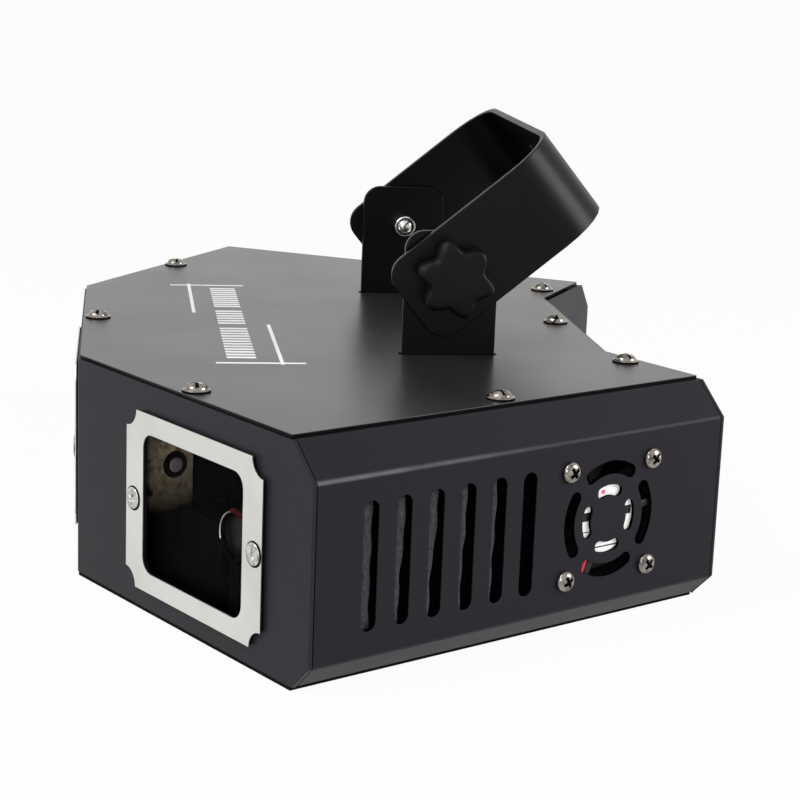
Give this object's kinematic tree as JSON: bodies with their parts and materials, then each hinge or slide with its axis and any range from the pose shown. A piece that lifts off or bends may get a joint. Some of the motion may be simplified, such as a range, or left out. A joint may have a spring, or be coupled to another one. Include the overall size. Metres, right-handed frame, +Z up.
{
  "type": "laser show projector",
  "caption": "Wide fan-shaped stage laser projector with turned front windows, side fans and vents, and a tilting hanging yoke clamped by star knobs.",
  "frame": {"origin": "under the middle of the object's box, on the plane its base stands on", "axes": "+X to the object's right along its widest way, -Y out of the middle window, +Z up"},
  "size_m": [0.3304, 0.1934, 0.1371],
  "materials": {
    "case_paint": "satin black powder coat on folded steel",
    "cover_paint": "satin black paint on flat steel",
    "bracket_paint": "satin black paint on bent steel",
    "frame_aluminium": "pale satin anodised",
    "window_glass": "clear float glass",
    "screw_steel": "dark nickel plate",
    "black_rubber": "matte",
    "foam": "open black foam",
    "fan_plastic": "moulded black",
    "red_lead": "red wire sleeve",
    "zinc_steel": "bright zinc",
    "knob_plastic": "fine moulded grain",
    "bracket_zinc": "yellow zinc passivate",
    "motor_steel": "turned steel can",
    "mirror": "front silvered",
    "laser_aluminium": "black anodised",
    "board_green": "solder mask",
    "display_black": "smoked display face",
    "rocker_red": "moulded red",
    "button_plastic": "moulded dark grey",
    "socket_plastic": "moulded black"
  },
  "bodies": {
    "case": {"back_panel": "case_paint", "base_plate": "case_paint", "base_screws": "screw_steel", "centre_laser_module": "laser_aluminium", "centre_scanner_bracket": "bracket_zinc", "centre_scanner_motors": "motor_steel", "centre_window_frame": "frame_aluminium", "centre_window_glass": "window_glass", "control_board": "board_green", "cover_screws": "screw_steel", "display_board": "display_black", "dmx_input": "socket_plastic", "dmx_output": "socket_plastic", "fan_screws": "screw_steel", "frame_screws": "screw_steel", "friction_washers": "black_rubber", "front_panel": "case_paint", "left_fan_frame": "fan_plastic", "left_laser_module": "laser_aluminium", "left_scanner_bracket": "bracket_zinc", "left_scanner_motors": "motor_steel", "left_side_panel": "case_paint", "left_vent_filter": "foam", "left_window_frame": "frame_aluminium", "left_window_glass": "window_glass", "pivot_nuts": "zinc_steel", "post_bracket": "bracket_paint", "power_inlet": "socket_plastic", "power_supply": "board_green", "power_switch": "socket_plastic", "right_fan_frame": "fan_plastic", "right_fan_lead": "red_lead", "right_laser_module": "laser_aluminium", "right_scanner_bracket": "bracket_zinc", "right_scanner_motors": "motor_steel", "right_side_panel": "case_paint", "right_vent_filter": "foam", "right_window_frame": "frame_aluminium", "right_window_glass": "window_glass", "socket_screws": "screw_steel", "top_cover": "cover_paint", "window_gaskets": "black_rubber"},
    "yoke": {"yoke": "bracket_paint"},
    "right_washer": {"right_knob_washer": "zinc_steel"},
    "left_washer": {"left_knob_washer": "zinc_steel"},
    "right_knob": {"right_knob": "knob_plastic"},
    "left_knob": {"left_knob": "knob_plastic"},
    "right_rotor": {"right_fan_rotor": "fan_plastic"},
    "left_rotor": {"left_fan_rotor": "fan_plastic"},
    "rocker": {"switch_rocker": "rocker_red"},
    "right_x_scanner": {"right_x_mirror": "mirror"},
    "right_y_scanner": {"right_y_mirror": "mirror"},
    "centre_x_scanner": {"centre_x_mirror": "mirror"},
    "centre_y_scanner": {"centre_y_mirror": "mirror"},
    "left_x_scanner": {"left_x_mirror": "mirror"},
    "left_y_scanner": {"left_y_mirror": "mirror"},
    "menu_key": {"menu_button": "button_plastic"},
    "down_key": {"down_button": "button_plastic"},
    "up_key": {"up_button": "button_plastic"},
    "enter_key": {"enter_button": "button_plastic"}
  },
  "joints": [
    {"name": "yoke_tilt", "type": "hinge", "parent": "case", "child": "yoke", "pos_m": [0, 0.01813, 0.0938], "axis": [1, 0, 0], "range_deg": [-39.5, 140.5]},
    {"name": "right_knob_travel", "type": "slide", "parent": "yoke", "child": "right_washer", "axis": [1, 0, 0], "range_m": [0, 0.001]},
    {"name": "right_knob_turn", "type": "hinge", "parent": "right_washer", "child": "right_knob", "pos_m": [0.0545, 0.01813, 0.0938], "axis": [1, 0, 0], "range_deg": [0, 360]},
    {"name": "left_knob_travel", "type": "slide", "parent": "yoke", "child": "left_washer", "axis": [-1, 0, 0], "range_m": [0, 0.001]},
    {"name": "left_knob_turn", "type": "hinge", "parent": "left_washer", "child": "left_knob", "pos_m": [-0.0545, 0.01813, 0.0938], "axis": [-1, 0, 0], "range_deg": [0, 360]},
    {"name": "right_fan_spin", "type": "hinge", "parent": "case", "child": "right_rotor", "pos_m": [0.1127, 0.05718, 0.0334], "axis": [0.866, 0.5, 0], "continuous": true},
    {"name": "left_fan_spin", "type": "hinge", "parent": "case", "child": "left_rotor", "pos_m": [-0.1127, 0.05718, 0.0334], "axis": [-0.866, 0.5, 0], "continuous": true},
    {"name": "right_x_scan", "type": "hinge", "parent": "case", "child": "right_x_scanner", "pos_m": [0.105, -0.04068, 0.018], "axis": [-0.5, 0.866, 0], "range_deg": [-15, 15]},
    {"name": "right_y_scan", "type": "hinge", "parent": "case", "child": "right_y_scanner", "pos_m": [0.105, -0.04068, 0.03355], "axis": [0.866, 0.5, 0], "range_deg": [-15, 15]},
    {"name": "centre_x_scan", "type": "hinge", "parent": "case", "child": "centre_x_scanner", "pos_m": [0, -0.07067, 0.018], "axis": [0, 1, 0], "range_deg": [-15, 15]},
    {"name": "centre_y_scan", "type": "hinge", "parent": "case", "child": "centre_y_scanner", "pos_m": [0, -0.07067, 0.03355], "axis": [1, 0, 0], "range_deg": [-15, 15]},
    {"name": "left_x_scan", "type": "hinge", "parent": "case", "child": "left_x_scanner", "pos_m": [-0.105, -0.04068, 0.018], "axis": [0.5, 0.866, 0], "range_deg": [-15, 15]},
    {"name": "left_y_scan", "type": "hinge", "parent": "case", "child": "left_y_scanner", "pos_m": [-0.105, -0.04068, 0.03355], "axis": [0.866, -0.5, 0], "range_deg": [-15, 15]},
    {"name": "power_rocker", "type": "hinge", "parent": "case", "child": "rocker", "pos_m": [-0.033, 0.07242, 0.05147], "axis": [1, 0, 0], "range_deg": [-16, 0]},
    {"name": "menu_press", "type": "slide", "parent": "case", "child": "menu_key", "axis": [0, -1, 0], "range_m": [0, 0.0006], "stiffness_N_per_m": 800, "springref_m": -0.0005},
    {"name": "down_press", "type": "slide", "parent": "case", "child": "down_key", "axis": [0, -1, 0], "range_m": [0, 0.0006], "stiffness_N_per_m": 800, "springref_m": -0.0005},
    {"name": "up_press", "type": "slide", "parent": "case", "child": "up_key", "axis": [0, -1, 0], "range_m": [0, 0.0006], "stiffness_N_per_m": 800, "springref_m": -0.0005},
    {"name": "enter_press", "type": "slide", "parent": "case", "child": "enter_key", "axis": [0, -1, 0], "range_m": [0, 0.0006], "stiffness_N_per_m": 800, "springref_m": -0.0005}
  ],
  "couplings": [
    {"joint": "right_knob_turn", "follows": "right_knob_travel", "rad_per_m": 6283},
    {"joint": "left_knob_turn", "follows": "left_knob_travel", "rad_per_m": 6283}
  ]
}
